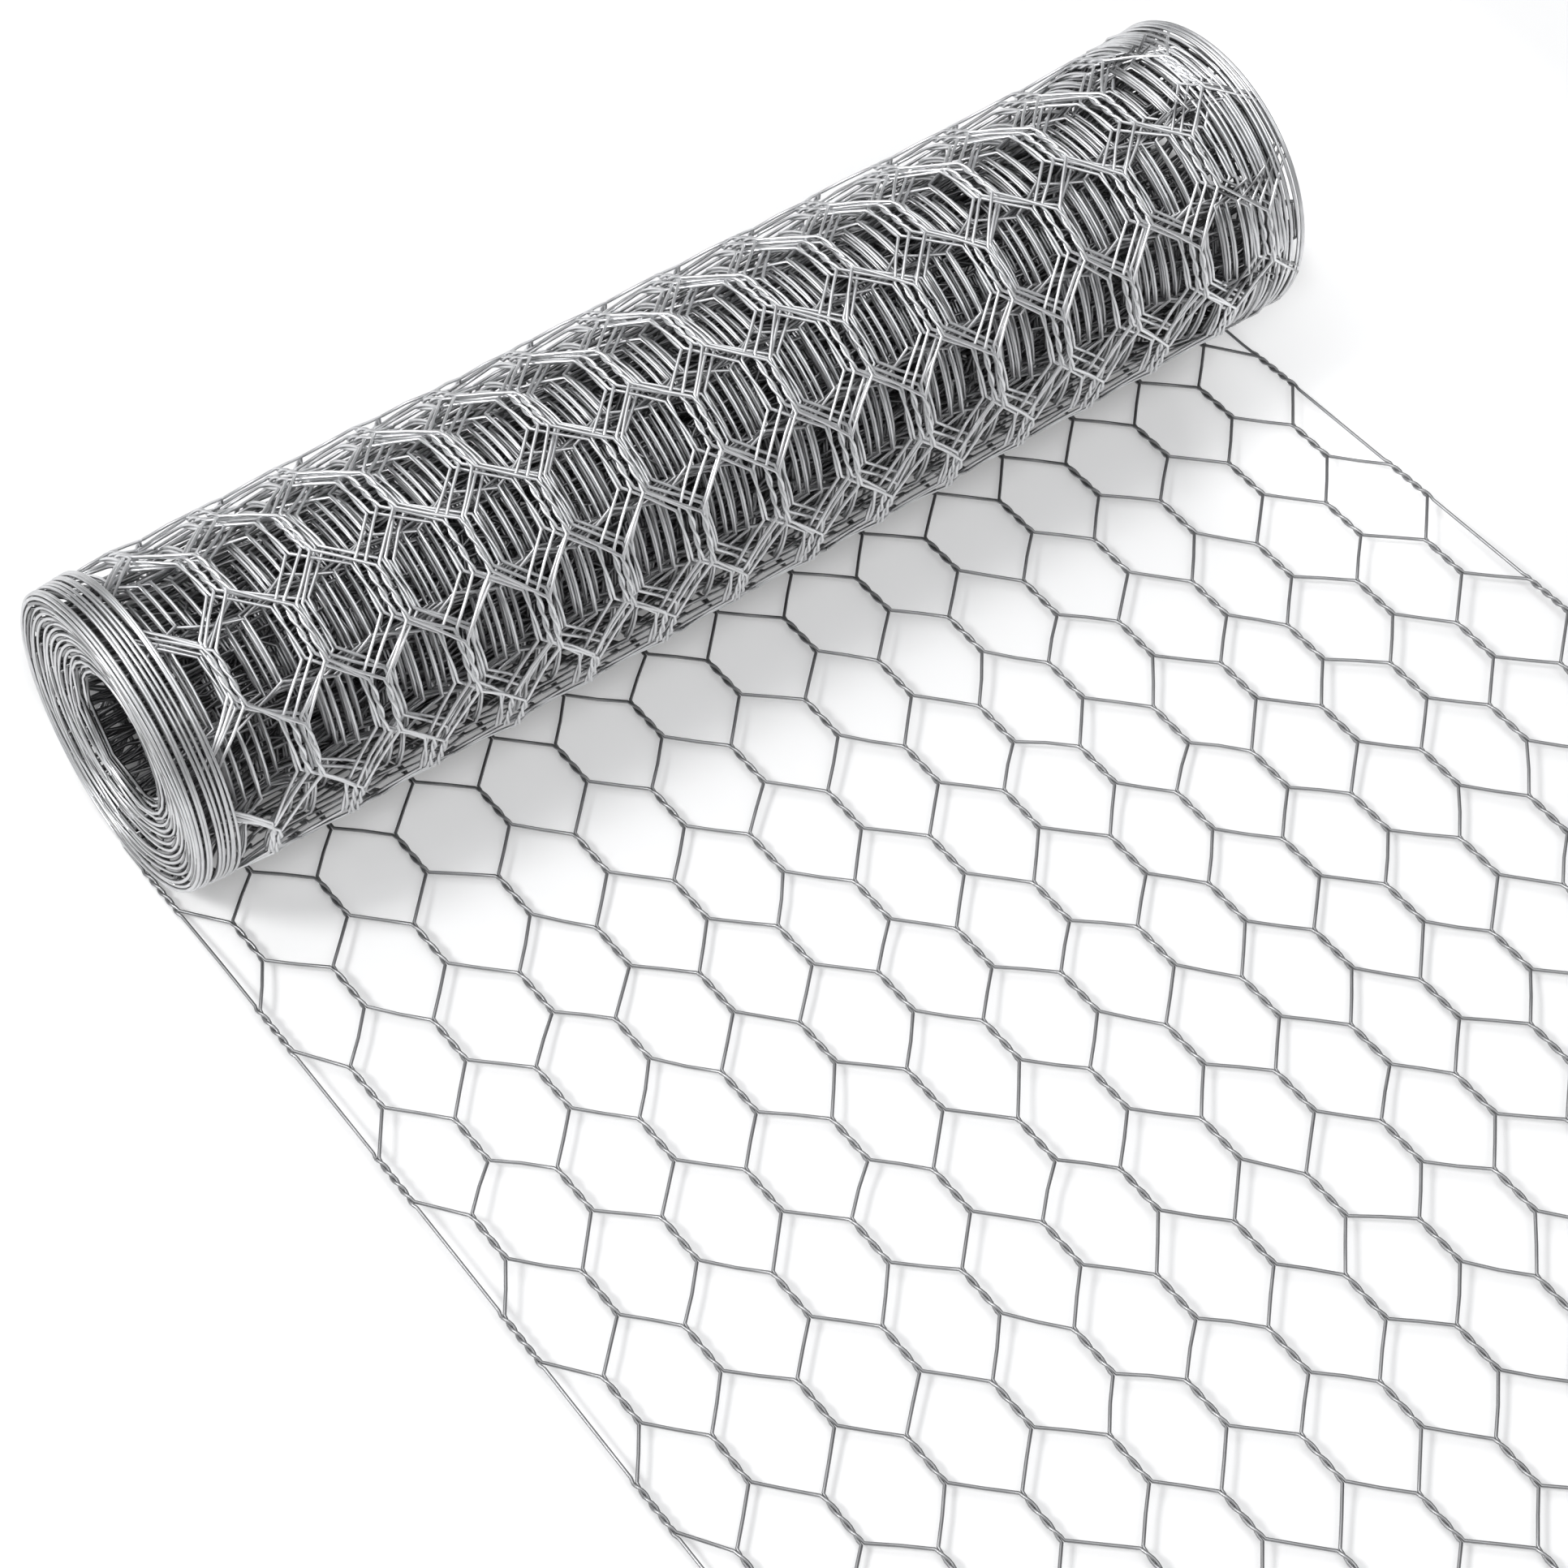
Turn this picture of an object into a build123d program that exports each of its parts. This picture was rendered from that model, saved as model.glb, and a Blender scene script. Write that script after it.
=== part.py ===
# A part-used roll of galvanized hexagonal wire netting (chicken wire), lying on its side
# with its last stretch pulled out flat in front of it.
# Millimetres. X runs along the roll's axis, the flat run lies towards -Y, Z is up.
# The origin is on the floor, under the middle of the whole object's box.

import os
from math import hypot, sqrt

from build123d import *

# Netting: hexagonal cells, twisted joints along the length, a straight wire at each edge
netting_width = 350.0
wire_diameter = 0.9
cells_across = 14
half_cell_share = 0.5
row_pitch = 26.2
twist_length = 15.1

# Flat run, from its cut end to the line where the roll meets the floor
flat_length = 384.7
seat_clearance = 0.3

# Roll: the outer turns bunch at the rim. At the left they stand out side by side, the outermost
# one least. The edges of the other turns make up a face at each end, dished towards the bore.
roll_diameter = 84.5
bore_diameter = 32.0
turns = 25
outer_turn_width = 337.2
rim_overhang = 1.4
bunched_turns = 10
bunch_length = 10.8
bunch_drop = 2.5
left_dish = 4.3
right_dish = 5.7

# Places worked out from the sizes
roll_radius = roll_diameter / 2
bore_radius = bore_diameter / 2
left_edge = -(netting_width + rim_overhang) / 2
right_edge = left_edge + netting_width
roll_right = right_edge + rim_overhang
outer_turn_left = roll_right - outer_turn_width
face_left = outer_turn_left - bunch_length
face_radius = roll_radius - bunch_drop
cut_end = -(flat_length + roll_radius) / 2
axis_y = cut_end + flat_length

# A pair of twisted wires is two wires wide and two wires thick
twist_size = 2 * wire_diameter
left_selvage = left_edge + wire_diameter / 2
right_selvage = right_edge - wire_diameter / 2
mesh_width = (right_selvage - left_selvage) / (cells_across + half_cell_share)
half_mesh = mesh_width / 2
slant_length = row_pitch - twist_length

# The flat run stops where the roll comes down to the height of its twists
roll_reach = sqrt((roll_radius + seat_clearance) ** 2 - (roll_radius - twist_size) ** 2)
flat_end = axis_y - roll_reach
row_count = int((flat_end - cut_end) / row_pitch) + 2


def turn_edges(first, after_last, count):
    """Evenly spaced edges of some turns as (place along the axis, radius), from the outside in."""
    edges = []
    for turn in range(count):
        share = turn / count
        x = first[0] + share * (after_last[0] - first[0])
        edges.append((x, first[1] + share * (after_last[1] - first[1])))
    return edges


def end_steps(edges):
    """Outline of one end of the roll from the rim down to the bore, one step for each turn's edge."""
    inner_radii = [radius for _, radius in edges[1:]] + [bore_radius]
    points = []
    for (x, outer), inner in zip(edges, inner_radii):
        points.append((x, outer))
        points.append((x, inner))
    return points


face_turns = turns - bunched_turns
bunch = turn_edges((outer_turn_left, roll_radius), (face_left, face_radius), bunched_turns)
left_face = turn_edges((face_left, face_radius), (face_left + left_dish, bore_radius), face_turns)
right_face = turn_edges((roll_right, roll_radius), (roll_right - right_dish, bore_radius), face_turns)

# Roll: one turned solid with its bore, a step for each turn on both ends
axis_plane = Plane((0, axis_y, roll_radius), x_dir=(1, 0, 0), z_dir=(0, -1, 0))
with BuildPart() as roll:
    with BuildSketch(axis_plane) as wall:
        with BuildLine():
            Polyline(*reversed(end_steps(bunch + left_face)), *end_steps(right_face), close=True)
        make_face()
    revolve(axis=Axis(axis_plane.origin, axis_plane.x_dir))
roll.part.label = "roll"

# Cell opening: its sides clear the twisted pairs, its slants clear single wires
slant_slope = slant_length / half_mesh
slant_cover = wire_diameter / 2 * hypot(1, slant_slope)
open_half_width = half_mesh - wire_diameter
open_apex = twist_length / 2 + slant_length - slant_cover
open_shoulder = open_apex - slant_slope * open_half_width
selvage_reach = wire_diameter / 2
open_at_selvage = open_apex - slant_slope * selvage_reach

whole_cell = [
    (open_half_width, open_shoulder),
    (0, open_apex),
    (-open_half_width, open_shoulder),
    (-open_half_width, -open_shoulder),
    (0, -open_apex),
    (open_half_width, -open_shoulder),
]
half_cell = [
    (selvage_reach, open_at_selvage),
    (open_half_width, open_shoulder),
    (open_half_width, -open_shoulder),
    (selvage_reach, -open_at_selvage),
]
mirrored_half_cell = [(-x, y) for x, y in half_cell]

# Rows count from the cut end, which goes through the middle of a row of twists.
# Even rows start with a whole cell at the left selvage, odd rows with half a cell.
cell_centres = []
left_half_centres = []
right_half_centres = []
flat_centre_x = (left_edge + right_edge) / 2
for row in range(row_count):
    row_y = cut_end + row * row_pitch
    shift = row % 2
    for cell in range(cells_across):
        cell_centres.append((left_selvage + (2 * cell + 1 + shift) * half_mesh, row_y))
    if shift:
        left_half_centres.append((left_selvage, row_y))
    else:
        right_half_centres.append((right_selvage, row_y))

# Flat run: the bars left between the cells, twisted pairs two wires wide, slants one
with BuildPart() as flat_run:
    with BuildSketch() as net:
        with Locations((flat_centre_x, (cut_end + flat_end) / 2)):
            Rectangle(netting_width, flat_end - cut_end)
        with Locations(*cell_centres):
            Polygon(*whole_cell, align=None, mode=Mode.SUBTRACT)
        with Locations(*left_half_centres):
            Polygon(*half_cell, align=None, mode=Mode.SUBTRACT)
        with Locations(*right_half_centres):
            Polygon(*mirrored_half_cell, align=None, mode=Mode.SUBTRACT)
    extrude(amount=twist_size)
flat_run.part.label = "flat_run"

os.makedirs("parts", exist_ok=True)
export_step(roll.part, "parts/roll.step")
export_step(flat_run.part, "parts/flat_run.step")
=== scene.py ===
# Looks of a part-used roll of galvanized hexagonal wire netting, with its last stretch lying flat.
# Metres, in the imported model's frame: X along the roll's axis, the flat run towards -Y, Z up.

from math import pi, radians

import bpy
import numpy as np
from mathutils import Matrix, Vector


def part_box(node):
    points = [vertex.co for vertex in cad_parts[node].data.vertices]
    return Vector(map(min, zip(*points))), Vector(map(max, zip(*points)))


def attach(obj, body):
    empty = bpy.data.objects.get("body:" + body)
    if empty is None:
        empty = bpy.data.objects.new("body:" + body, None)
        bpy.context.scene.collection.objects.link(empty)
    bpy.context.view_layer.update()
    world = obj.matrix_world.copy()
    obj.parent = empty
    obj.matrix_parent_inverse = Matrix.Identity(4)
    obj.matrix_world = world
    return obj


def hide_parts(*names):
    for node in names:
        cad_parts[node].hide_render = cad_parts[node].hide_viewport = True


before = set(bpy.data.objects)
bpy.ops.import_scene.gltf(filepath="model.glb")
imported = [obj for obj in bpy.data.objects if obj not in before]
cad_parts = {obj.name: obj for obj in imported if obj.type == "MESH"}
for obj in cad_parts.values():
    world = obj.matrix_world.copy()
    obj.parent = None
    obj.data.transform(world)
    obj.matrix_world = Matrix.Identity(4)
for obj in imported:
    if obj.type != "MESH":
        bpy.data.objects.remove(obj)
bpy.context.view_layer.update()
wander_seed = 7
seeded = np.random.default_rng(wander_seed)

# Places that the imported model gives
flat_low, flat_high = (np.array(corner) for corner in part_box("flat_run"))
roll_low, roll_high = (np.array(corner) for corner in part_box("roll"))
axis_y = (roll_low[1] + roll_high[1]) / 2
axis_z = (roll_low[2] + roll_high[2]) / 2
cut_end = flat_low[1]

# Netting: 14 and a half cells across, counted in half meshes, rows of twisted joints along it
half_meshes = 29
wire_diameter = 0.0009
wire_radius = wire_diameter / 2
row_pitch = 0.0262
twist_length = 0.0151
twist_half_share = twist_length / row_pitch / 2
selvage_wraps = 2
wrap_ease_share = 0.25
flat_left = flat_low[0] + wire_radius
flat_right = flat_high[0] - wire_radius

# Winding: the outer turns lie in step, row over row. Rows are closer in the inner turns, which show
# as dense lines, and further apart round the bore. Inner cells are drawn out, but for their low front.
# A part of a turn counts from the floor, up the back, over the top and down the front.
turns = 25
winding_samples = 4001
bore_radius = 0.016
outer_radius = axis_z - wire_diameter
turn_thickness = (axis_z - bore_radius) / turns
hidden_turns = 0.42
hidden_rows_per_turn = 10.8
stepped_turns = 11.5
stepped_rows_per_turn = 10.0
core_rows_per_turn = 20.3
bore_turns = 3.5
bore_rows_per_turn = 4.0
tight_turn = 6.0
tight_parts = (0.0, 0.12, 0.3, 0.72, 0.84, 1.0)
tight_part_shares = (0.0, 0.0, 1.0, 1.0, 0.0, 0.0)
tight_twist_half_share = 0.45

# Where the two edges of the netting lie along the axis and out from it as the turns go in, and how far
# along the netting their spread reaches
outermost_turn = 0.9
left_edge_turns = (0.0, 0.12, 0.3, 0.9, 3.0, 9.5, 11.0, 25.0)
left_edge_places = (-0.1723, -0.1655, -0.1615, -0.1615, -0.1633, -0.1718, -0.1723, -0.1680)
left_edge_radii = (0.0413, 0.0413, 0.0413, 0.0414, 0.0413, 0.0406, 0.0390, 0.0170)
right_edge_turns = (0.0, 0.42, 0.9, 2.5, 11.0, 12.5, 25.0)
right_edge_places = (0.1704, 0.1755, 0.1755, 0.1742, 0.1580, 0.1745, 0.1700)
right_edge_radii = (0.0413, 0.0432, 0.0432, 0.0430, 0.0414, 0.0390, 0.0170)
left_edge_reach = 0.022
right_edge_reach = 0.040

# How far the cells of each turn stand from those of the outermost one, along the axis and in rows:
# the next two lie close beside them, and the joints of the others cross their openings. The change
# comes where the turns pass underneath.
turn_shifts = 0.001 * np.array([
    0.0, -2.1, -4.6, 2.6, 4.6, 3.6, -11.3, -1.5, -4.6, 3.7, -2.0, 8.4, -6.0,
    8.0, 0.0, -9.0, 5.0, -3.0, 10.0, -7.0, 2.0, 7.0, -5.0, 11.0, -1.0,
])
turn_row_shifts = np.array([
    0.0, 0.1, 0.13, 0.04, 0.04, 1.08, 0.1, 1.1, 0.1, 1.0, 1.1, 0.0, 0.0,
    1.0, 0.0, 1.0, 0.0, 1.0, 0.0, 1.0, 0.0, 1.0, 0.0, 1.0, 0.0,
])
shift_start_share = 0.30
shift_end_share = 0.91

# Columns beside each edge that follow the edge in place of the shifts: at the left, more of them in the
# outer turns than in the core
left_edge_columns = (3.0, 1.2)
right_edge_columns = 1.2
core_turns = (10.0, 12.0)

# Where the edges of the flat run draw in or spread, row by row
flat_edge_rows = (0.0, 8.7, 13.5)
flat_left_pull = 0.0030
flat_right_pulls = (0.0006, 0.0024, -0.0034)

# How the hand-wound netting departs from true. Wave rates are in radians per row or column.
joint_wander = 0.0004
joint_wander_in = 0.0002
core_wander = 0.0025
edge_wander = 0.00025
edge_wave_rates = (0.61, 0.37, 1.13)
slack = 0.0036
slack_depth = 12.0
slack_part_turns = (0.5, 0.7, 0.84, 0.98)
slack_part_shares = (0.0, 0.6, 1.0, 0.0)
joint_bulge_share = 0.35
flat_lift = 0.0012
flat_lift_rows = 2
flat_wave = 0.0008
flat_wave_row_rates = (0.71, 0.33)
flat_wave_column_rates = (0.23, -0.41)

# How bright the zinc is drawn, all as painted shade: darker on the flat run, bright on the roll, darker
# turn by turn inside
flat_painted_shade_tone = 0.28
tone_turns = (0.0, 0.3, 4.0, 7.0, 9.0, 13.0, 23.0, 24.0)
turn_painted_shade_tones = (0.28, 1.0, 1.0, 0.95, 0.8, 0.36, 0.36, 0.6)
# Painted shade low on each turn, near the floor and at the lower front, stronger in the deep turns
under_parts = (0.0, 0.15, 0.3, 0.76, 0.88, 1.0)
under_painted_shade_shares = (0.5, 0.5, 1.0, 1.0, 0.7, 0.7)
deep_under_painted_shade_shares = (0.2, 0.3, 1.0, 1.0, 0.3, 0.2)
deep_turns = (3.9, 5.0)
# Painted shade on the drawn-out slants and joint ends of inner turns, on joints under an edge wire, and
# on slants by the right edge
tight_slant_painted_shade_share = 0.08
tight_joint_end_painted_shade_share = 0.55
selvage_joint_painted_shade = 0.25
right_slant_columns = 2.5
right_slant_painted_shade_share = 0.1
left_tone_turns = (0.9, 9.5, 11.0, 25.0)
left_selvage_tones = (0.75, 0.75, 0.8, 0.8)
# At the right edge the wires darken deeper in: painted shade
right_painted_shade_turns = (0.9, 11.0, 12.5)
right_selvage_painted_shades = (0.85, 0.85, 0.15)
tone_spread = 0.12

# Zinc coat: patches of uneven brightness and gloss
# Ends of the wire colour scale: the dark end serves dull patches and the painted shade in the wire
# tones
dull_and_shaded_zinc = (0.13, 0.13, 0.134, 1)
bright_zinc = (0.84, 0.845, 0.855, 1)
patch_scale = 170.0
patch_detail = 4.0
patch_tone_shares = (0.7, 1.3)
patch_roughness = (0.48, 0.32)

# How finely the flat run is drawn
flat_twist_points = 13
flat_bend_share = 0.3
flat_half_turns = 3
flat_wire_sides = 8
flat_edge_points = 48

# Roll, from the outer turns in: last turn, points in a twist, sides of a wire, share of the true bend,
# half turns in a twist, and whether the two wires of a joint lie over each other
stretches = [
    ("netting_outer_turns", 2, 13, 6, 0.35, 3, False),
    ("netting_upper_turns", 5, 9, 6, 0.5, 1, False),
    ("netting_middle_turns", 11, 5, 6, 0.8, 0, True),
    ("netting_inner_turns", 15, 5, 4, 0.8, 0, False),
    ("netting_core_turns", 19, 5, 4, 0.85, 0, False),
    ("netting_bore_turns", 25, 5, 4, 0.85, 0, False),
]

# Edge wires on the roll: points in a row and sides of a wire, in the outer stretches and further in
plain_edge_turn = 12
outer_edge_detail = (12, 8)
inner_edge_detail = (6, 6)

# Floor: parts of it as the middle of a rectangle, half its sizes, and how fast the change round it goes
# each way. A fade has its reach, its level at the rectangle and its level past the reach.
floor_size = 40.0
floor_roughness = 0.9
# The floor's colour is darkened under and just behind the roll as a painted shadow; glows paint light
# into the shadow round it
under_roll = ((0, axis_y, 0), (0.16, 0.02, 0), (2, 1, 1))
behind_roll = ((0.024, axis_y + 0.027, 0), (0.176, 0.012, 0), (2.5, 1, 1))
beside_roll = ((0.22, axis_y - 0.02, 0), (0.05, 0.06, 0), (1, 1, 1))
round_object = ((0, 0, 0), (0.3, 0.3, 0), (1, 1, 1))
# Painted shadow in the floor's colour under and behind the roll, and painted light in the glows near
# the roll
under_painted_shadow_fade = (0.014, 0.55, 0.82)
behind_painted_shadow_fade = (0.045, 0.06, 1.0)
under_glow_fade = (0.06, 0.29, 0.10)
beside_glow_fade = (0.06, 0.40, 0.10)
far_glow_fade = (1.6, 0.1, 0.9)

# Surroundings: dim round the horizon, bright overhead
sky_colour = (0.97, 0.98, 1.0, 1)
sky_heights = (0.1, 0.8)
sky_strengths = (0.075, 0.56)

# Camera at the photograph's place, tipped a little to the side as the photograph is
camera_place = Vector((-0.41833, -0.3939, 0.8119))
camera_aim = Vector((-0.0255, 0.0918, 0.0))
camera_tip = radians(2.75)
camera_sensor_mm = 36.0
camera_lens_mm = 92.19
camera_nearest = 0.01


def smooth(t):
    """Eased step from 0 to 1."""
    t = np.clip(t, 0, 1)
    return t * t * (3 - 2 * t)


# Edges of the outermost turn, and the row number reached at each point of the winding
outer_left = np.interp(outermost_turn, left_edge_turns, left_edge_places)
outer_right = np.interp(outermost_turn, right_edge_turns, right_edge_places)
tangent_row = (axis_y - cut_end) / row_pitch
turn_samples = np.linspace(0, turns, winding_samples)
rows_per_turn = np.where(turn_samples < stepped_turns, stepped_rows_per_turn, core_rows_per_turn)
rows_per_turn[turn_samples < hidden_turns] = hidden_rows_per_turn
rows_per_turn[turn_samples > turns - bore_turns] = bore_rows_per_turn
sample_step = turn_samples[1] - turn_samples[0]
row_samples = tangent_row + np.concatenate(([0], np.cumsum(rows_per_turn[:-1]) * sample_step))
shifts = np.repeat(turn_shifts, 2)
shift_turns = np.add.outer(np.arange(turns), (shift_start_share, shift_end_share)).ravel()
row_samples = row_samples + np.interp(turn_samples, shift_turns, np.repeat(turn_row_shifts, 2))
last_row = int(row_samples[-1])
rows_of_turn = np.interp(np.arange(turns + 1), turn_samples, row_samples)

# Seeded wander of each joint, across, along and through the netting, but not at its edges
wander = seeded.normal(size=(last_row + 2, half_meshes + 1, 3))
wander *= (joint_wander, joint_wander, joint_wander_in)
core_row = int(np.interp(stepped_turns, turn_samples, row_samples))
wander[core_row:, :, :2] *= core_wander / joint_wander
wander[:, [0, -1]] = 0
edge_phases = seeded.uniform(0, 2 * pi, 6)
wave_phases = seeded.uniform(0, 2 * pi, 4)


def edge_drift(row, phases):
    """Slow wander of an edge of the netting along the winding."""
    return edge_wander * sum(np.sin(row * rate + phase) for rate, phase in zip(edge_wave_rates, phases))


def slack_at(turn):
    """How far a turn hangs out at the front of the roll, less and less as the turns go in."""
    part = np.interp(turn % 1, slack_part_turns, slack_part_shares)
    return slack * part * np.maximum(1 - turn / slack_depth, 0)


def place(column, row):
    """Middle of the netting at a half-mesh column and a row, with the way that faces the axis."""
    turn = np.interp(row, row_samples, turn_samples)
    angle = 2 * pi * turn
    flat_rows = np.maximum(tangent_row - row, 0)
    wound = smooth(turn / hidden_turns)

    # Across: evenly spaced between the edges on the floor, shifted turn by turn on the roll
    left = np.interp(turn, left_edge_turns, left_edge_places)
    left = left + wound * edge_drift(row, edge_phases[:3])
    right = np.interp(turn, right_edge_turns, right_edge_places)
    right = right + wound * edge_drift(row, edge_phases[3:])
    lattice_left = flat_left + wound * (left - flat_left)
    lattice_right = flat_right + wound * (right - flat_right)
    from_edge = np.minimum(column, half_meshes - column)
    on_left = column < half_meshes / 2
    x = lattice_left + (lattice_right - lattice_left) * column / half_meshes
    in_step = outer_left + (outer_right - outer_left) * column / half_meshes
    in_step = in_step + np.interp(turn, shift_turns, shifts)
    left_columns = np.interp(turn, core_turns, left_edge_columns)
    in_place = smooth(from_edge / np.where(on_left, left_columns, right_edge_columns))
    x = x + wound * in_place * (in_step - x)
    flat_right_pull = np.interp(row, flat_edge_rows, flat_right_pulls)
    edge_x = np.where(on_left, flat_left + flat_left_pull, flat_right + flat_right_pull)
    edge_x = np.where(flat_rows > 0, edge_x, np.where(on_left, left, right))
    lattice_edge = np.where(on_left, lattice_left, lattice_right)
    x = x + np.maximum(1 - from_edge, 0) * (edge_x - lattice_edge)

    # Out from the axis: the edges of the turns spread outwards, clear of the floor
    near_left = smooth(1 - (x - left) / left_edge_reach)
    near_right = smooth(1 - (right - x) / right_edge_reach)
    radius = outer_radius - turn_thickness * turn + slack_at(turn)
    radius = radius + near_left * (np.interp(turn, left_edge_turns, left_edge_radii) - radius)
    radius = radius + near_right * (np.interp(turn, right_edge_turns, right_edge_radii) - radius)
    standing_out = np.maximum(radius - outer_radius, 0)
    radius = radius - standing_out * (1 + np.cos(angle)) / 2
    waves = 0
    for row_rate, column_rate, phase in zip(flat_wave_row_rates, flat_wave_column_rates, wave_phases):
        waves = waves + np.sin(row * row_rate + column * column_rate + phase)
    waves = waves / len(flat_wave_row_rates)
    lift = smooth(flat_rows / flat_lift_rows) * (flat_lift + flat_wave * (1 + waves))
    y = axis_y + radius * np.sin(angle) - flat_rows * row_pitch
    z = axis_z - radius * np.cos(angle) + lift
    normal = np.stack([np.zeros_like(angle), -np.sin(angle), np.cos(angle)], axis=-1)
    return np.stack([x, y, z], axis=-1), normal


def painted_shade_at(row):
    """Brightness of the netting wires at a row, with painted shade deeper in the roll and low on each
    turn.
    """
    turn = np.interp(row, row_samples, turn_samples)
    # Painted shade low on each turn, stronger in the deep turns
    painted_under_shade = np.interp(turn % 1, under_parts, under_painted_shade_shares)
    painted_deep_shade = np.interp(turn % 1, under_parts, deep_under_painted_shade_shares)
    painted_under_shade = painted_under_shade + np.interp(turn, deep_turns, (0, 1)) * (painted_deep_shade - painted_under_shade)
    painted_under_shade = np.where(turn > 1, painted_under_shade, 1)
    return np.interp(turn, tone_turns, turn_painted_shade_tones) * painted_under_shade


def tightness_at(row):
    """How far the cells at a row are drawn out lengthwise, from 0 on the outer turns to 1 inside."""
    turn = np.interp(row, row_samples, turn_samples)
    part_share = np.interp(turn % 1, tight_parts, tight_part_shares)
    return smooth(turn - tight_turn + 1) * np.where(turn < stepped_turns, part_share, 1)


def twist_half_at(row):
    """Half the length of a joint's twist at a row, as a share of the row pitch."""
    return twist_half_share + tightness_at(row) * (tight_twist_half_share - twist_half_share)


def route_wires():
    """Column of every netting wire at each row, and the way it heads before and after that row."""
    starts = [(0, 1)]
    for column in range(2, half_meshes, 2):
        starts.append((column, 1))
        starts.append((column, -1))
    columns = np.zeros((len(starts), last_row + 2), int)
    arriving = np.zeros_like(columns)
    leaving = np.zeros_like(columns)
    for wire, (column, heading) in enumerate(starts):
        for row in range(last_row + 2):
            columns[wire, row] = column
            arriving[wire, row] = heading
            if column == 0:
                heading = 1
            if column == half_meshes:
                heading = -1
            leaving[wire, row] = heading
            column += heading
    # The wire that starts at the left edge comes to it from the right
    arriving[0, 0] = -1
    return columns, arriving, leaving


wire_columns, wire_arriving, wire_leaving = route_wires()


def wire_painted_shades(row, slant_column, under_edge, point_count):
    """Brightness of the netting wires at each joint's points and at the half-way point after it, with
    painted shade.
    """
    turn = np.interp(row, row_samples, turn_samples)
    tones = np.repeat(painted_shade_at(row), point_count, axis=2)
    # Painted shade: joints under an edge wire, drawn-out slants and joint ends inside, slants by the
    # right edge
    tones[..., :-1] = np.where(under_edge, selvage_joint_painted_shade, tones[..., :-1])
    tightness = tightness_at(row)
    tones[..., -1:] *= 1 - tightness * (1 - tight_slant_painted_shade_share)
    tones[..., [0, -2]] *= 1 - tightness * (1 - tight_joint_end_painted_shade_share)
    at_right = slant_column > half_meshes - right_slant_columns
    tones[..., -1:] *= np.where(at_right & (turn > 1), right_slant_painted_shade_share, 1)
    return tones


def netting_paths(first_row, end_row, twist_points, bend_share, half_turns_in_twist, stacked=False):
    """Paths of all netting wires from one row up to another, as arrays of points, normals and tones."""
    rows = np.arange(first_row, end_row)
    column = wire_columns[:, rows][..., None].astype(float)
    arriving = wire_arriving[:, rows][..., None]
    leaving = wire_leaving[:, rows][..., None]
    row = np.broadcast_to(rows[None, :, None], column.shape).astype(float)
    at_selvage = (column == 0) | (column == half_meshes)
    joint_shift = wander[rows[None, :], wire_columns[:, rows]][:, :, None, :]

    t = np.linspace(0, 1, twist_points)[None, None, :]
    twist_half = twist_half_at(row)
    twist_rows = row + twist_half * (2 * t - 1)
    low_end, _ = place(column, row - twist_half)
    high_end, _ = place(column, row + twist_half)
    arc, arc_normal = place(column + 0 * t, twist_rows)
    chord = low_end + (high_end - low_end) * t[..., None]
    axis = chord + bend_share * (arc - chord)

    # Two wires of a joint wind round each other, and at a selvage one winds with the edge wire,
    # or on the roll passes under it
    under_edge = at_selvage & (row > tangent_row)
    half_turns = np.where(at_selvage, 2 * selvage_wraps, half_turns_in_twist)
    half_turns = np.where(under_edge, 0, half_turns)
    start_angle = np.where(arriving > 0, pi, 0)
    if stacked:
        start_angle = start_angle - pi / 2
    start_angle = np.where(under_edge, pi / 2, start_angle)
    winding = start_angle + half_turns * pi * t
    reach = np.where(under_edge, wire_diameter, wire_radius)
    across = np.zeros_like(axis)
    across[..., 0] = 1
    twist = axis + reach[..., None] * (
        np.cos(winding)[..., None] * across + np.sin(winding)[..., None] * arc_normal
    )
    along = np.cross(across, arc_normal)
    twist = twist + joint_shift[..., :1] * across + joint_shift[..., 1:2] * along
    twist = twist + joint_shift[..., 2:] * arc_normal
    bulge = joint_bulge_share * slack_at(np.interp(row, row_samples, turn_samples))
    twist = twist - bulge[..., None] * arc_normal

    # Straight runs between joints, each with one point half-way
    next_rows = rows + 1
    next_column = wire_columns[:, next_rows][..., None].astype(float)
    next_low, _ = place(next_column, row + 1 - twist_half_at(row + 1))
    next_shift = wander[next_rows[None, :], wire_columns[:, next_rows]][:, :, None, :]
    next_side = next_low.copy()
    next_side[..., 0] -= leaving * wire_radius
    next_side[..., 0] += next_shift[..., 0]
    half_chord = (twist[:, :, -1:] + next_side) / 2
    mid_arc, mid_normal = place((column + next_column) / 2, row + 0.5)
    mid_base = (high_end + next_low) / 2
    half_way = half_chord + bend_share * (mid_arc - mid_base)

    # No wire reaches below the floor
    points = np.concatenate([twist, half_way], axis=2)
    points[..., 2] = np.maximum(points[..., 2], wire_radius)
    normals = np.concatenate([arc_normal, mid_normal], axis=2)
    tones = wire_painted_shades(row, (column + next_column) / 2, under_edge, points.shape[2])
    wires = points.shape[0]
    return points.reshape(wires, -1, 3), normals.reshape(wires, -1, 3), tones.reshape(wires, -1)


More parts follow.
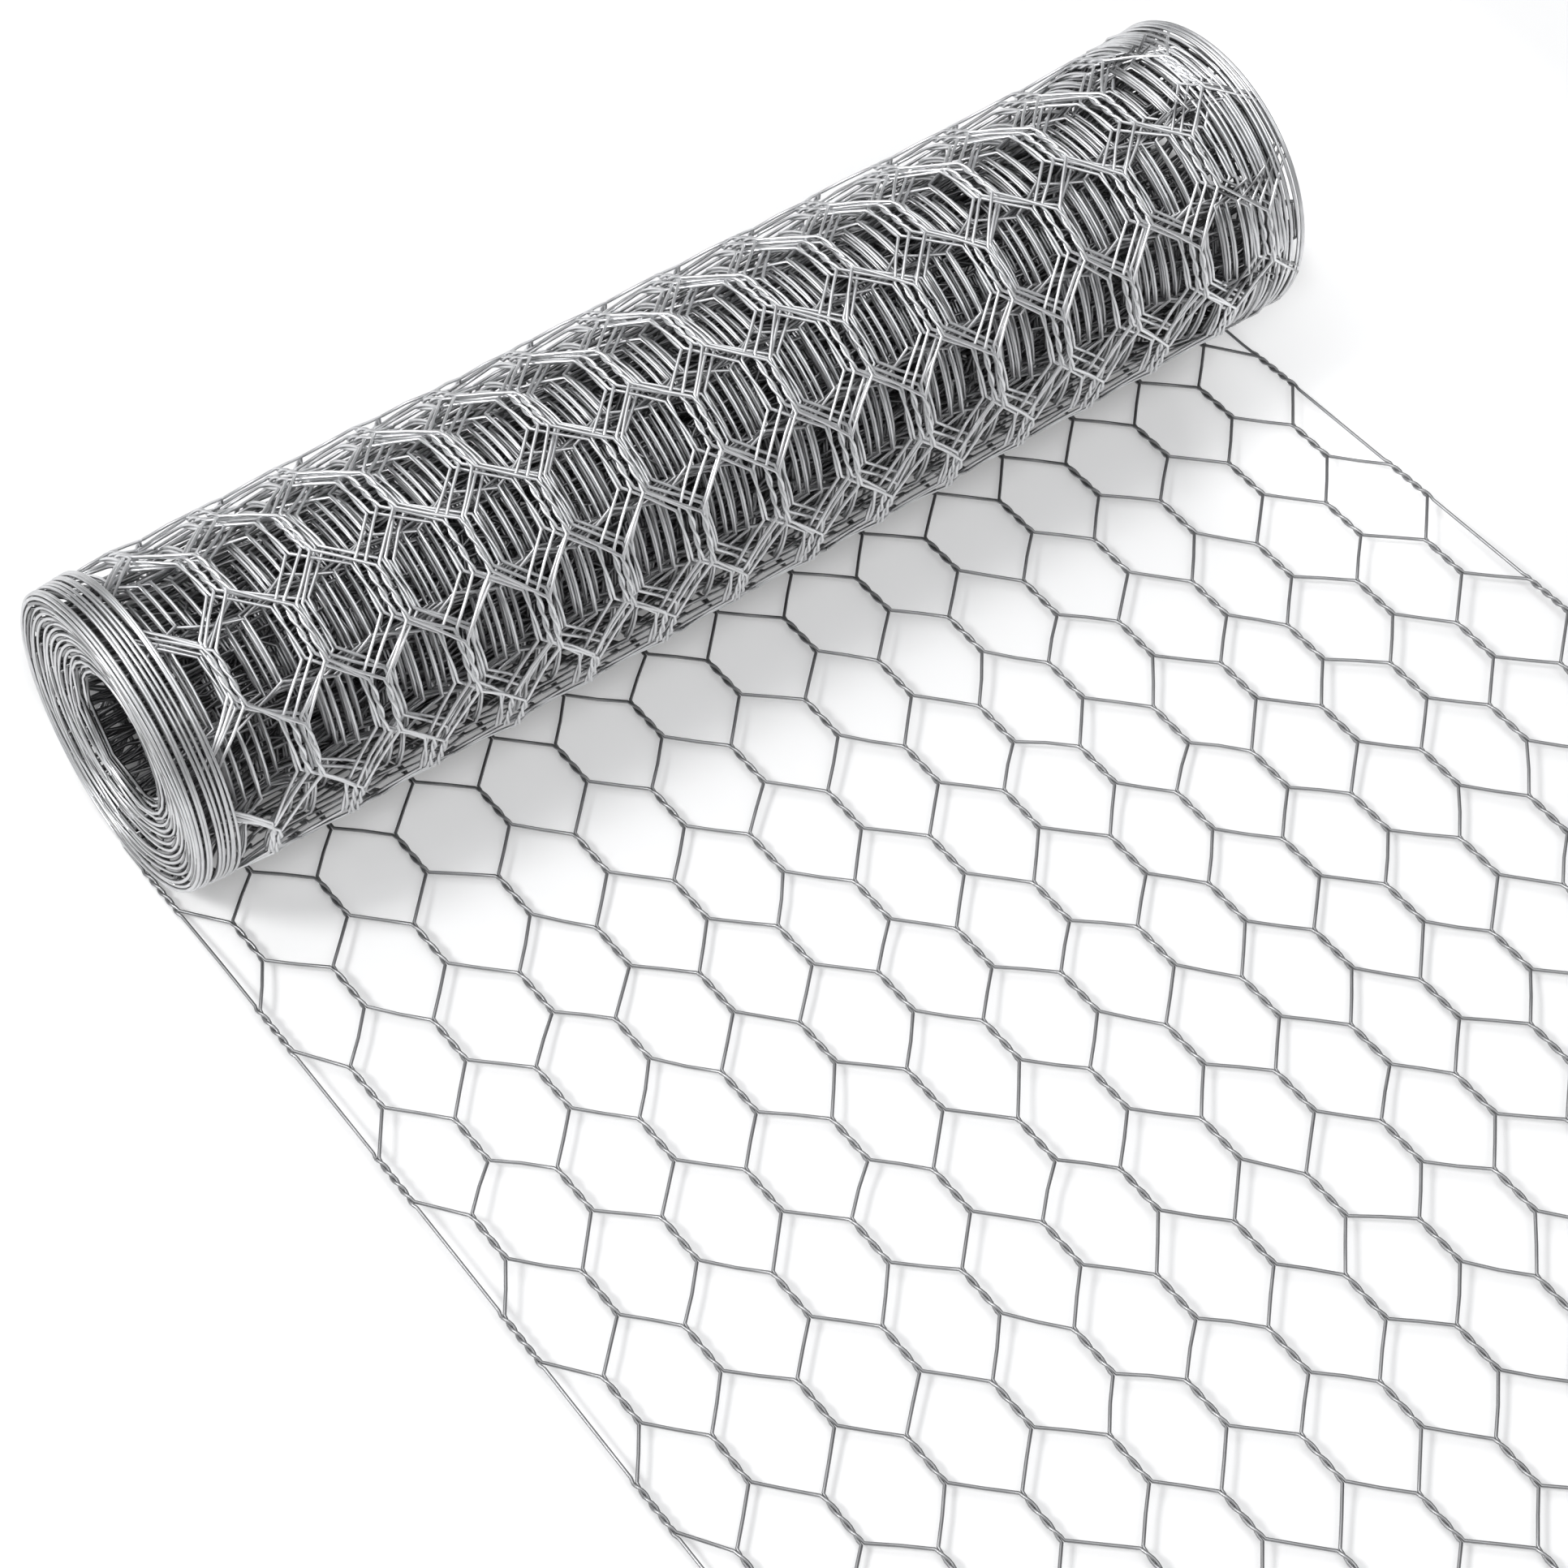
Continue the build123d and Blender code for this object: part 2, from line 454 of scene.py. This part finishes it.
def selvage_paths(first_row, end_row, points_per_row):
    """The two edge wires of the netting between two rows, winding with the netting on the floor."""
    count = int((end_row - first_row) * points_per_row) + 1
    row = np.broadcast_to(np.linspace(first_row, end_row, count), (2, count))
    column = np.array([[0.0], [float(half_meshes)]]) + 0 * row
    points, normals = place(column, row)
    joint_row = 2 * np.round((row - column % 2) / 2) + column % 2
    t = (row - joint_row) / (2 * twist_half_share) + 0.5
    start_angle = np.where(column > 0, 0, pi)
    winding = start_angle + 2 * selvage_wraps * pi * np.clip(t, 0, 1)
    nearby = smooth((1 - np.abs(2 * t - 1)) / wrap_ease_share + 1) * (row < tangent_row)
    points[..., 0] += wire_radius * nearby * np.cos(winding)
    points += (wire_radius * nearby * np.sin(winding))[..., None] * normals
    turn = np.interp(row, row_samples, turn_samples)
    # Edge wire brightness by turn, with painted shade deeper in at the right edge and on the flat run
    left_tone = np.interp(turn, left_tone_turns, left_selvage_tones)
    right_painted_shade = np.interp(turn, right_painted_shade_turns, right_selvage_painted_shades)
    tones = np.where(column > 0, right_painted_shade, left_tone)
    tones = np.where(row < tangent_row, flat_painted_shade_tone, tones)
    return points, normals, tones


def tubes(paths, normals, tones, sides):
    """Round wires along the given paths, closed at both ends, as vertices, faces and tones."""
    wires, count, _ = paths.shape
    along = np.gradient(paths, axis=1)
    along /= np.linalg.norm(along, axis=2, keepdims=True)
    side = np.cross(along, normals)
    side /= np.linalg.norm(side, axis=2, keepdims=True)
    up = np.cross(side, along)
    angles = np.arange(sides) * 2 * pi / sides
    ring = np.cos(angles)[:, None] * side[:, :, None] + np.sin(angles)[:, None] * up[:, :, None]
    vertices = (paths[:, :, None] + wire_radius * ring).reshape(-1, 3)

    wire_start = np.arange(wires)[:, None, None] * count * sides
    ring_start = np.arange(count - 1)[None, :, None] * sides
    corner = np.arange(sides)[None, None, :]
    after = (corner + 1) % sides
    low = wire_start + ring_start
    quads = np.stack([low + corner, low + sides + corner, low + sides + after, low + after], axis=-1)
    first_caps = wire_start[:, 0] + np.arange(sides)
    end_caps = wire_start[:, 0] + (count - 1) * sides + np.arange(sides)[::-1]
    faces = quads.reshape(-1, 4).tolist() + first_caps.tolist() + end_caps.tolist()
    spread = 1 + tone_spread * seeded.uniform(-1, 1, size=(wires, 1))
    return vertices, faces, np.repeat((tones * spread).ravel(), sides)


def wire_piece(name, node, parts):
    """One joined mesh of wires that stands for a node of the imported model."""
    vertices = []
    faces = []
    tones = []
    start = 0
    for part_vertices, part_faces, part_tones in parts:
        vertices.append(part_vertices)
        faces.extend([[start + index for index in face] for face in part_faces])
        tones.append(part_tones)
        start += len(part_vertices)
    mesh = bpy.data.meshes.new(name)
    mesh.from_pydata(np.concatenate(vertices).tolist(), [], faces)
    mesh.polygons.foreach_set("use_smooth", np.ones(len(mesh.polygons), bool))
    # The wire_tone attribute carries painted shade as well as each wire's random tone
    tone = mesh.attributes.new("wire_tone", "FLOAT", "POINT")
    tone.data.foreach_set("value", np.concatenate(tones).astype(np.float32))
    mesh.update()
    mesh.materials.append(wire_material)
    piece = bpy.data.objects.new(name, mesh)
    bpy.context.collection.objects.link(piece)
    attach(piece, "root")
    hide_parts(node)


def math_node(tree, operation, first, second):
    """Two values of a node tree taken together."""
    node = tree.nodes.new("ShaderNodeMath")
    node.operation = operation
    tree.links.new(first, node.inputs[0])
    tree.links.new(second, node.inputs[1])
    return node.outputs[0]


def range_node(tree, value, from_range, to_range, easing="LINEAR"):
    """A value of a node tree carried from one range to another."""
    node = tree.nodes.new("ShaderNodeMapRange")
    node.interpolation_type = easing
    node.inputs["From Min"].default_value, node.inputs["From Max"].default_value = from_range
    node.inputs["To Min"].default_value, node.inputs["To Max"].default_value = to_range
    tree.links.new(value, node.inputs["Value"])
    return node.outputs["Result"]


def galvanized():
    """Zinc-coated steel wire with bright and dull patches, coloured by a wire tone that carries painted
    shade.
    """
    material = bpy.data.materials.new("galvanized_wire")
    material.use_nodes = True
    tree = material.node_tree
    shader = tree.nodes["Principled BSDF"]
    shader.inputs["Metallic"].default_value = 1.0
    tone = tree.nodes.new("ShaderNodeAttribute")
    tone.attribute_name = "wire_tone"
    coordinates = tree.nodes.new("ShaderNodeTexCoord")
    patches = tree.nodes.new("ShaderNodeTexNoise")
    patches.inputs["Scale"].default_value = patch_scale
    patches.inputs["Detail"].default_value = patch_detail
    tree.links.new(coordinates.outputs["Object"], patches.inputs["Vector"])
    uneven = range_node(tree, patches.outputs["Fac"], (0, 1), patch_tone_shares)
    brightness = math_node(tree, "MULTIPLY", tone.outputs["Fac"], uneven)
    colours = tree.nodes.new("ShaderNodeValToRGB")
    dull, bright = colours.color_ramp.elements
    dull.position = 0.0
    dull.color = dull_and_shaded_zinc
    bright.position = 1.0
    bright.color = bright_zinc
    tree.links.new(brightness, colours.inputs["Fac"])
    tree.links.new(colours.outputs["Color"], shader.inputs["Base Color"])
    roughness = range_node(tree, patches.outputs["Fac"], (0, 1), patch_roughness)
    tree.links.new(roughness, shader.inputs["Roughness"])
    return material


wire_material = galvanized()

# Flat run, cut through the middle of its first joints, and up to the first rows under the roll
roll_row = int(tangent_row) + 2
flat_cut = flat_twist_points // 2
flat_paths = netting_paths(0, roll_row, flat_twist_points, flat_bend_share, flat_half_turns)
flat_netting = tubes(*[part[:, flat_cut:] for part in flat_paths], flat_wire_sides)
flat_selvages = tubes(*selvage_paths(0, roll_row, flat_edge_points), flat_wire_sides)
wire_piece("netting_flat_run", "flat_run", [flat_netting, flat_selvages])

# Roll
first_row = roll_row
for name, end_turn, twist_points, sides, bend_share, half_turns, stacked in stretches:
    end_row = int(rows_of_turn[end_turn])
    edge_points, edge_sides = outer_edge_detail if end_turn < plain_edge_turn else inner_edge_detail
    paths = netting_paths(first_row, end_row, twist_points, bend_share, half_turns, stacked)
    netting = tubes(*paths, sides)
    selvages = tubes(*selvage_paths(first_row, end_row, edge_points), edge_sides)
    wire_piece(name, "roll", [netting, selvages])
    first_row = end_row

# Floor
half = floor_size / 2
floor_corners = [(-half, -half, 0), (half, -half, 0), (half, half, 0), (-half, half, 0)]
floor_mesh = bpy.data.meshes.new("floor")
floor_mesh.from_pydata(floor_corners, [], [(0, 1, 2, 3)])
floor = bpy.data.objects.new("floor", floor_mesh)
bpy.context.collection.objects.link(floor)
floor_material = bpy.data.materials.new("floor")
floor_material.use_nodes = True
floor_tree = floor_material.node_tree
floor_shader = floor_tree.nodes["Principled BSDF"]
floor_shader.inputs["Roughness"].default_value = floor_roughness
floor_shader.inputs["Specular IOR Level"].default_value = 0.0
floor_shader.inputs["Emission Color"].default_value = (1, 1, 1, 1)
floor_rays = floor_tree.nodes.new("ShaderNodeLightPath")
floor_spot = floor_tree.nodes.new("ShaderNodeTexCoord")


def floor_vector(operation, first, second=None):
    """A vector sum on the floor's coordinates."""
    node = floor_tree.nodes.new("ShaderNodeVectorMath")
    node.operation = operation
    floor_tree.links.new(first, node.inputs[0])
    if second is not None:
        node.inputs[1].default_value = second
    return node.outputs["Value" if operation == "LENGTH" else "Vector"]


def distance_past(middle, half_sizes, speeds):
    """How far a spot on the floor lies outside a rectangle, with each way counted at its own speed."""
    from_middle = floor_vector("SUBTRACT", floor_spot.outputs["Object"], middle)
    past_sides = floor_vector("SUBTRACT", floor_vector("ABSOLUTE", from_middle), half_sizes)
    outside = floor_vector("MAXIMUM", past_sides, (0, 0, 0))
    return floor_vector("LENGTH", floor_vector("MULTIPLY", outside, speeds))


def floor_fade(distance, reach, near_level, far_level):
    """A soft change from one level to another as the distance grows."""
    return range_node(floor_tree, distance, (0, reach), (near_level, far_level), "SMOOTHSTEP")


def floor_math(operation, first, second):
    """Two values on the floor taken together."""
    return math_node(floor_tree, operation, first, second)


# The floor's colour darkens under the roll, most of all just behind it, as a painted shadow. A glow,
# which only the camera and glossy or clear surfaces see, paints light into the shadow round the roll
# and whitens the floor far off.
from_roll = distance_past(*under_roll)
behind_painted_shadow = floor_fade(distance_past(*behind_roll), *behind_painted_shadow_fade)
floor_painted_shadow = floor_math("MULTIPLY", floor_fade(from_roll, *under_painted_shadow_fade), behind_painted_shadow)
floor_tree.links.new(floor_painted_shadow, floor_shader.inputs["Base Color"])
floor_seen = floor_rays.outputs["Is Camera Ray"]
for ray in ("Is Glossy Ray", "Is Transmission Ray"):
    floor_seen = floor_math("MAXIMUM", floor_seen, floor_rays.outputs[ray])
under_glow = floor_fade(from_roll, *under_glow_fade)
beside_glow = floor_fade(distance_past(*beside_roll), *beside_glow_fade)
near_glow = floor_math("MULTIPLY", floor_math("MAXIMUM", under_glow, beside_glow), behind_painted_shadow)
far_glow = floor_fade(distance_past(*round_object), *far_glow_fade)
floor_glow = floor_math("MULTIPLY", floor_math("MAXIMUM", near_glow, far_glow), floor_seen)
floor_tree.links.new(floor_glow, floor_shader.inputs["Emission Strength"])
floor_mesh.materials.append(floor_material)

# Sky
world = bpy.data.worlds.new("studio")
bpy.context.scene.world = world
world.use_nodes = True
sky_tree = world.node_tree
sky = sky_tree.nodes["Background"]
sky.inputs["Color"].default_value = sky_colour
sky_way = sky_tree.nodes.new("ShaderNodeTexCoord")
sky_parts = sky_tree.nodes.new("ShaderNodeSeparateXYZ")
sky_tree.links.new(sky_way.outputs["Generated"], sky_parts.inputs["Vector"])
sky_strength = range_node(sky_tree, sky_parts.outputs["Z"], sky_heights, sky_strengths, "SMOOTHSTEP")
sky_tree.links.new(sky_strength, sky.inputs["Strength"])


def area_lamp(name, spot, aim, size, power):
    """Soft square lamp that shines from one spot towards another."""
    lamp = bpy.data.lights.new(name, "AREA")
    lamp.size = size
    lamp.energy = power
    holder = bpy.data.objects.new(name, lamp)
    holder.location = spot
    holder.rotation_euler = (Vector(aim) - Vector(spot)).to_track_quat("-Z", "Y").to_euler()
    bpy.context.collection.objects.link(holder)


# Lamps
roll_middle = (0.0, axis_y, axis_z)
object_middle = (0.0, 0.0, 0.0)
area_lamp("back_lamp", spot=(-0.20, 0.75, 1.30), aim=roll_middle, size=1.2, power=7.5)
area_lamp("front_lamp", spot=(-0.20, -0.75, 1.40), aim=object_middle, size=1.0, power=6.8)
area_lamp("side_lamp", spot=(-2.00, 0.80, 1.90), aim=object_middle, size=0.6, power=37.5)

# Camera
camera = bpy.data.cameras.new("camera")
camera.sensor_width = camera_sensor_mm
camera.lens = camera_lens_mm
camera.clip_start = camera_nearest
viewer = bpy.data.objects.new("camera", camera)
turn_to_aim = (camera_aim - camera_place).to_track_quat("-Z", "Y").to_matrix().to_4x4()
tip_sideways = Matrix.Rotation(camera_tip, 4, "Z")
viewer.matrix_world = Matrix.Translation(camera_place) @ turn_to_aim @ tip_sideways
bpy.context.collection.objects.link(viewer)
bpy.context.scene.camera = viewer
bpy.context.scene.view_settings.view_transform = "Standard"
